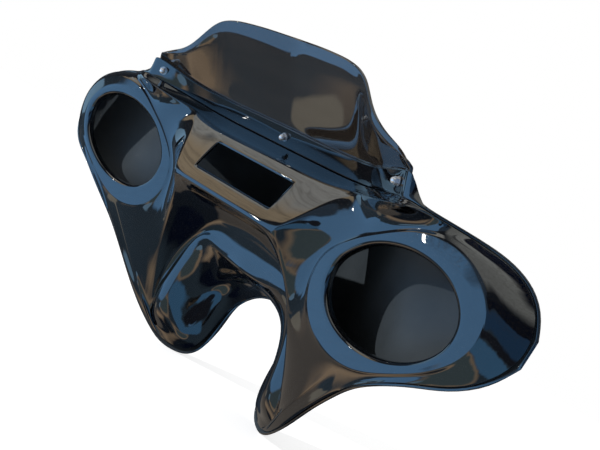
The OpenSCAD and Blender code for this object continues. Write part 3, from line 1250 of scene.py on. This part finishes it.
@dataclass
class Tent:
    """A light tent round the object: large soft panels that show only as reflections.

    Attributes:
        radius: Radius of the tent, in metres.
        waver: How unevenly the panels' edges run, in degrees.
        streaked: How strong the streaks of twigs are above the horizon.
        streaked_low: How strong they are below it, and what they start from above it.
        panels: The panels, placed for the reflections in the photograph. A later one covers an earlier one.
    """

    radius: float = 4.0
    waver: float = 5.0
    streaked: float = 0.45
    streaked_low: float = 0.08
    panels: tuple[Panel, ...] = (
        Panel(-20, -40, 70, 40, Tone.EARTH),
        Panel(20, -25, 110, 45, Tone.SHADE),
        Panel(-115, -50, 40, 20, Tone.CLAY),
        Panel(20, -50, 45, 15, Tone.EARTH),
        Panel(18, -48, 40, 11, Tone.MOSS),
        Panel(-17, -14, 46, 28, Tone.SKY, 0.1),
        Panel(-76, -3, 17, 10, Tone.HAZE, 0.1),
        Panel(5, 20, 25, 20, Tone.DUSK),
        Panel(60, -14, 46, 4, Tone.GLOOM),
        Panel(93, 3, 75, 15, Tone.DEEP_BLUE),
        Panel(90, 19, 76, 7, Tone.NIGHT),
        Panel(110, 80, 170, 50, Tone.CLOUD),
        Panel(-48, 24, 9, 15, Tone.SAND),
        Panel(-54, 40, 12, 13, Tone.GLARE),
        Panel(-185, 50, 85, 20, Tone.NIGHT),
        Panel(130, -65, 30, 20, Tone.NIGHT),
        Panel(-57, -23, 8, 11, Tone.SKY, 0.1),
        Panel(-72, -43, 5, 12, Tone.SHADE),
        Panel(57, -28, 43, 9, Tone.BLUE),
        Panel(-24, -50, 8, 5, Tone.HAZE),
        Panel(18, -18, 8, 8, Tone.GLOOM),
        Panel(-75, -41, 7, 4, Tone.STONE),
        Panel(*SUN, 0.6, 0.6, Tone.SUN, 0.3),
    )

    def build(self) -> bpy.types.Object:
        """Makes the tent and marks it as part of the stage.

        Returns:
            The tent.
        """
        mesh = bmesh.new()
        bmesh.ops.create_uvsphere(mesh, u_segments=64, v_segments=32, radius=self.radius)
        data = mesh_from(mesh, "light_tent")
        data.materials.append(self.paint())
        tent = placed("light_tent", data)
        tent.location = MIDDLE
        tent.visible_camera = False
        tent.visible_diffuse = False
        tent.visible_shadow = False
        tent.visible_transmission = False
        tent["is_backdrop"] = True
        LOG.info("%s: %d panels", tent.name, len(self.panels))
        return tent

    def paint(self) -> bpy.types.Material:
        """Makes the tent's material from its panels."""
        graph = Graph.of_material("tent_panels")
        axes = graph.add("ShaderNodeSeparateXYZ", {}, {"Vector": graph.place()})
        x, y, z = (axes.output(name) for name in "XYZ")
        azimuth = x.arctan2(y * -1.0) + (graph.noise(1.6, 2) - 0.5) * self.waver
        elevation = (z / self.radius).arcsine() + (graph.noise(1.9, 2) - 0.5) * self.waver
        colour = Tone.DIM.value
        for panel in self.panels:
            across = (azimuth - panel.azimuth + 540.0) % 360.0 - 180.0
            away = (across / panel.wide) ** 2 + ((elevation - panel.elevation) / panel.high) ** 2
            mask = 1.0 - away.clamped(1 - panel.soft, 1 + panel.soft)
            colour = graph.mix(mask, colour, panel.tone.value)
        twigs = 1.0 - abs(graph.noise(5, 3, (0.5, 0.5, 3.5)) - 0.5).clamped(0.0, 0.05)
        strength = elevation.clamped(2.0, 12.0) * self.streaked + self.streaked_low
        colour = graph.mix(twigs * strength, colour, Tone.TWIGS.value)
        light = graph.add("ShaderNodeEmission", {}, {"Color": colour, "Strength": 1.0})
        return graph.feed("Material Output", Surface=light)


@dataclass
class Camera:
    """The camera, looking level from where the photograph was taken.

    Attributes:
        place: Where it stands, in metres.
        heading: How far it is turned to the left from straight ahead, in degrees.
        roll: How far it is tilted about its line of sight, in degrees.
        lens_mm: Its focal length.
    """

    place: tuple[float, float, float] = (0.690, -1.002, 0.149)
    heading: float = 36.555
    roll: float = 30.651
    lens_mm: float = 38.4

    def build(self) -> None:
        """Adds the camera and makes it the scene's own."""
        data = bpy.data.cameras.new("camera")
        data.lens = self.lens_mm
        data.clip_start = 0.01
        camera = placed("camera", data)
        level = Matrix.Rotation(radians(self.heading), 4, "Z") @ Matrix.Rotation(pi / 2, 4, "X")
        turn = level @ Matrix.Rotation(radians(self.roll), 4, "Z")
        camera.matrix_world = Matrix.Translation(self.place) @ turn
        bpy.context.scene.camera = camera
        LOG.info("camera at %s, %.1f mm", self.place, self.lens_mm)


@dataclass
class Studio:
    """Pale floor, white background, even light and one key lamp.

    Attributes:
        floor_z: Height of the floor.
        floor_radius: Radius of the floor, in metres.
        floor_colour: Colour of the floor in the lamps' light.
        floor_glow: Light that the floor adds towards the camera.
        even: Strength of the even light.
        key_power: Power of the key lamp, in watts.
        key_size: Diameter of the key lamp, in metres.
        key_distance: Distance of the key lamp, in metres.
    """

    floor_z: float
    floor_radius: float = 12.0
    floor_colour: Colour = (0.8, 0.8, 0.8)
    floor_glow: Colour = (0.69, 0.69, 0.69)
    even: float = 0.4
    key_power: float = 95.0
    key_size: float = 0.05
    key_distance: float = 3.0

    def build(self) -> None:
        """Adds world, floor, lamp and tent."""
        bpy.context.scene.view_settings.view_transform = "Standard"
        self.world()
        self.floor()
        self.lamp()
        Tent().build()

    def world(self) -> None:
        """Makes the background white and the light on the object even."""
        graph = Graph(bpy.data.worlds.new("studio"))
        seen = sum(graph.ray(kind) for kind in Ray).clamped(0.0, 1.0)
        strength = self.even + (1 - self.even) * seen
        bpy.context.scene.world = graph.feed("Background", Color=(1.0, 1.0, 1.0), Strength=strength)

    def floor(self) -> None:
        """Adds the floor, whose only marks are the object's soft shadow."""
        mesh = bmesh.new()
        bmesh.ops.create_circle(mesh, cap_ends=True, segments=64, radius=self.floor_radius)
        floor = placed("floor", mesh_from(mesh, "floor"))
        floor.location = (0, 0, self.floor_z)
        graph = Graph.of_material("pale_floor")
        glow = graph.mix(graph.ray(Ray.CAMERA), (0.0, 0.0, 0.0), self.floor_glow)
        finish = graph.feed(
            Base_Color=self.floor_colour, Roughness=0.9, Emission_Color=glow, Emission_Strength=1.0
        )
        floor.data.materials.append(finish)
        floor.visible_glossy = False
        floor.visible_shadow = False
        floor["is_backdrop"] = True

    def lamp(self) -> None:
        """Adds the key lamp, in the direction of the sun."""
        azimuth, elevation = (radians(a) for a in SUN)
        way = Vector((sin(azimuth) * cos(elevation), -cos(azimuth) * cos(elevation), sin(elevation)))
        data = bpy.data.lights.new("key", "AREA")
        data.shape = "DISK"
        data.size = self.key_size
        data.energy = self.key_power
        lamp = placed("key", data)
        lamp.location = MIDDLE + way * self.key_distance
        lamp.rotation_euler = way.to_track_quat("Z", "Y").to_euler()
        lamp.visible_glossy = False


class Slot(Enum):
    """Names of the pieces' slots and of the finishes of their visible sides."""

    INNER = "inner_gloss_black"
    OUTER = "outer_gloss_black"
    SCREEN = "smoked_acrylic"


def main() -> None:
    """Builds the scene."""
    logging.basicConfig(level=logging.INFO)
    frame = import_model()
    at_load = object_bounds()
    laminate = BareLaminate("bare_laminate").build()
    inner_black, outer_black = (GelCoat(slot.value).build() for slot in (Slot.INNER, Slot.OUTER))
    smoked = SmokedAcrylic(Slot.SCREEN.value).build()
    flange, rim = Flange(), Rim()
    pieces = {
        "inner_shell": (InnerShell(flange, rim).build(inner_black, laminate), Slot.INNER),
        "outer_shell": (OuterShell(flange, rim).build(outer_black, laminate), Slot.OUTER),
        "windshield": (Windshield(flange).build(smoked), Slot.SCREEN),
    }
    for node, (piece, slot) in pieces.items():
        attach(piece, "root")
        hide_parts(node)
        LOG.info("%s: %d faces", piece.name, len(piece.data.polygons))
    Fasteners(frame["nodes"]).build()
    Camera().build()
    Studio(floor_z=at_load[0][2] - MM).build()


if __name__ == "__main__":
    main()
